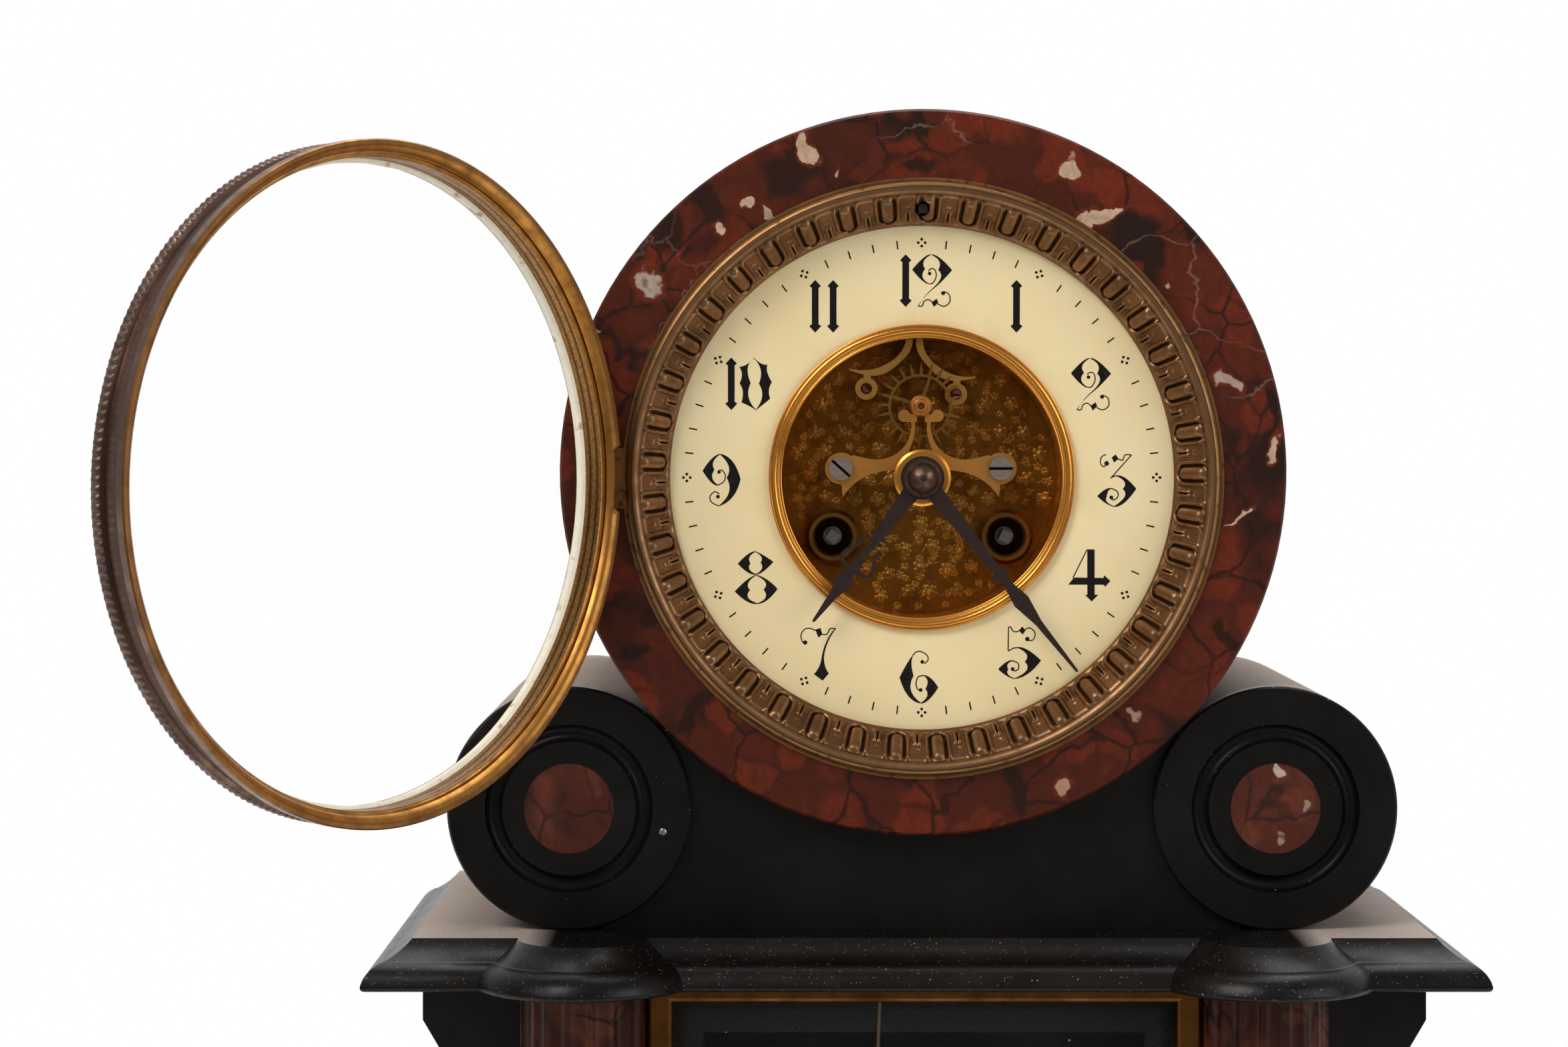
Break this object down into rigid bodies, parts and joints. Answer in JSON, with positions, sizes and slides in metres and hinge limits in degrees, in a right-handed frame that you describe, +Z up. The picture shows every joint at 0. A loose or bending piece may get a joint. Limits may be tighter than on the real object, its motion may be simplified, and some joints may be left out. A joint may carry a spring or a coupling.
{
  "type": "mantel clock",
  "caption": "Drum-head mantel clock in black slate and red marble: opening bezel, visible escapement, hands, pendulum and gong on a columned case.",
  "frame": {"origin": "middle of the plinth's underside", "axes": "+Z up, the dial faces -Y, +X on the viewer's right"},
  "size_m": [0.3265, 0.2555, 0.4097],
  "materials": {
    "slate": "black slate, polished to a satin, dusty on its upper faces",
    "red_marble": "polished dark red marble with pale fossils and grey veins",
    "brass": "lacquered brass, toned brown with age",
    "gilt_brass": "bright gilt",
    "stamped_brass": "stamped with flower sprigs, toned dark",
    "clear_glass": "clear, polished",
    "putty": "dry cream putty",
    "enamel": "vitreous enamel on copper, ivory, fine hairlines",
    "blued_steel": "blued steel, turned brown",
    "steel": "polished steel",
    "garnet": "dark red polished garnet",
    "iron": "black painted"
  },
  "bodies": {
    "clock": {"back_plate": "brass", "back_ring": "brass", "back_wall": "slate", "base_moulding": "slate", "base_plinth": "slate", "case_front": "slate", "centre_ring": "gilt_brass", "chapter_ring": "enamel", "cock_screws": "steel", "column_bases": "slate", "column_left": "red_marble", "column_right": "red_marble", "cornice": "slate", "dial_plate": "stamped_brass", "dial_surround": "brass", "drum_body": "slate", "drum_face": "red_marble", "escape_cock": "brass", "front_plate": "brass", "gong": "steel", "gong_stand": "iron", "movement_straps": "brass", "plate_pillars": "brass", "scroll_block": "slate", "scroll_inlays": "red_marble", "scroll_left": "slate", "scroll_right": "slate", "side_wall_left": "slate", "side_wall_right": "slate", "strap_screws": "steel", "suspension_bracket": "brass", "winding_collars": "brass", "window_frame": "brass", "window_glass": "clear_glass"},
    "bezel": {"bezel_ring": "brass", "bezel_glass": "clear_glass", "glass_putty": "putty", "bezel_hinge_pin": "brass"},
    "minute_work": {"minute_hand": "blued_steel", "hand_nut": "blued_steel", "cannon_pinion": "steel", "centre_wheel": "brass"},
    "hour_work": {"hour_hand": "blued_steel", "hour_collet": "gilt_brass", "hour_wheel": "brass"},
    "minute_wheel_set": {"minute_wheel": "brass"},
    "going_barrel_set": {"going_barrel": "brass"},
    "third_wheel_set": {"third_wheel": "brass"},
    "strike_barrel_set": {"strike_barrel": "brass"},
    "winding_going_set": {"winding_arbor_going": "steel"},
    "winding_strike_set": {"winding_arbor_strike": "steel"},
    "regulator_set": {"regulator_arbor": "steel"},
    "pendulum_set": {"pendulum_rod": "brass", "pendulum_bob": "brass", "rating_nut": "brass"},
    "pallet_set": {"pallet_anchor": "brass", "pallet_jewels": "garnet"},
    "escape_set": {"escape_wheel": "brass"},
    "back_door_set": {"back_door": "brass"},
    "hammer_set": {"strike_hammer": "steel"}
  },
  "joints": [
    {"name": "bezel_hinge", "type": "hinge", "parent": "clock", "child": "bezel", "pos_m": [-0.0783, -0.0463, 0.318], "axis": [0, 0, 1], "range_deg": [-4, 129]},
    {"name": "minute_turn", "type": "hinge", "parent": "clock", "child": "minute_work", "pos_m": [0, 0, 0.318], "axis": [0, 1, 0], "continuous": true},
    {"name": "hour_turn", "type": "hinge", "parent": "clock", "child": "hour_work", "pos_m": [0, 0, 0.318], "axis": [0, 1, 0], "continuous": true},
    {"name": "minute_wheel_turn", "type": "hinge", "parent": "clock", "child": "minute_wheel_set", "pos_m": [0, 0, 0.306], "axis": [0, 1, 0], "continuous": true},
    {"name": "going_barrel_turn", "type": "hinge", "parent": "clock", "child": "going_barrel_set", "pos_m": [0.02205, 0.0135, 0.30265], "axis": [0, 1, 0], "continuous": true},
    {"name": "third_wheel_turn", "type": "hinge", "parent": "clock", "child": "third_wheel_set", "pos_m": [0.01025, 0.0135, 0.33055], "axis": [0, 1, 0], "continuous": true},
    {"name": "strike_barrel_turn", "type": "hinge", "parent": "clock", "child": "strike_barrel_set", "pos_m": [-0.02205, 0.0135, 0.30265], "axis": [0, 1, 0], "continuous": true},
    {"name": "winding_going_turn", "type": "hinge", "parent": "clock", "child": "winding_going_set", "pos_m": [0.02205, 0.0135, 0.30265], "axis": [0, 1, 0], "continuous": true},
    {"name": "winding_strike_turn", "type": "hinge", "parent": "clock", "child": "winding_strike_set", "pos_m": [-0.02205, 0.0135, 0.30265], "axis": [0, 1, 0], "continuous": true},
    {"name": "regulator_turn", "type": "hinge", "parent": "clock", "child": "regulator_set", "pos_m": [0, 0, 0.385], "axis": [0, 1, 0], "continuous": true},
    {"name": "pendulum_swing", "type": "hinge", "parent": "clock", "child": "pendulum_set", "pos_m": [0, 0.0435, 0.374], "axis": [0, 1, 0], "range_deg": [-7.2, 0]},
    {"name": "pallet_rock", "type": "hinge", "parent": "clock", "child": "pallet_set", "pos_m": [0, 0, 0.374], "axis": [0, 1, 0], "range_deg": [-7.2, 0]},
    {"name": "escape_beat", "type": "hinge", "parent": "clock", "child": "escape_set", "pos_m": [0, 0, 0.336], "axis": [0, 1, 0], "range_deg": [0, 5.76]},
    {"name": "back_door_hinge", "type": "hinge", "parent": "clock", "child": "back_door_set", "pos_m": [0.0685, 0.0782, 0.318], "axis": [0, 0, -1], "range_deg": [0, 100]},
    {"name": "hammer_lift", "type": "hinge", "parent": "clock", "child": "hammer_set", "pos_m": [0.026, 0.0485, 0.296], "axis": [0, 1, 0], "range_deg": [-14, 0]}
  ],
  "couplings": [
    {"joint": "hour_turn", "follows": "minute_turn", "ratio": 0.083333},
    {"joint": "minute_wheel_turn", "follows": "minute_turn", "ratio": -0.33333},
    {"joint": "going_barrel_turn", "follows": "minute_turn", "ratio": -0.16667},
    {"joint": "third_wheel_turn", "follows": "minute_turn", "ratio": -8},
    {"joint": "pallet_rock", "follows": "pendulum_swing", "ratio": 1},
    {"joint": "escape_beat", "follows": "pendulum_swing", "ratio": -0.8}
  ]
}
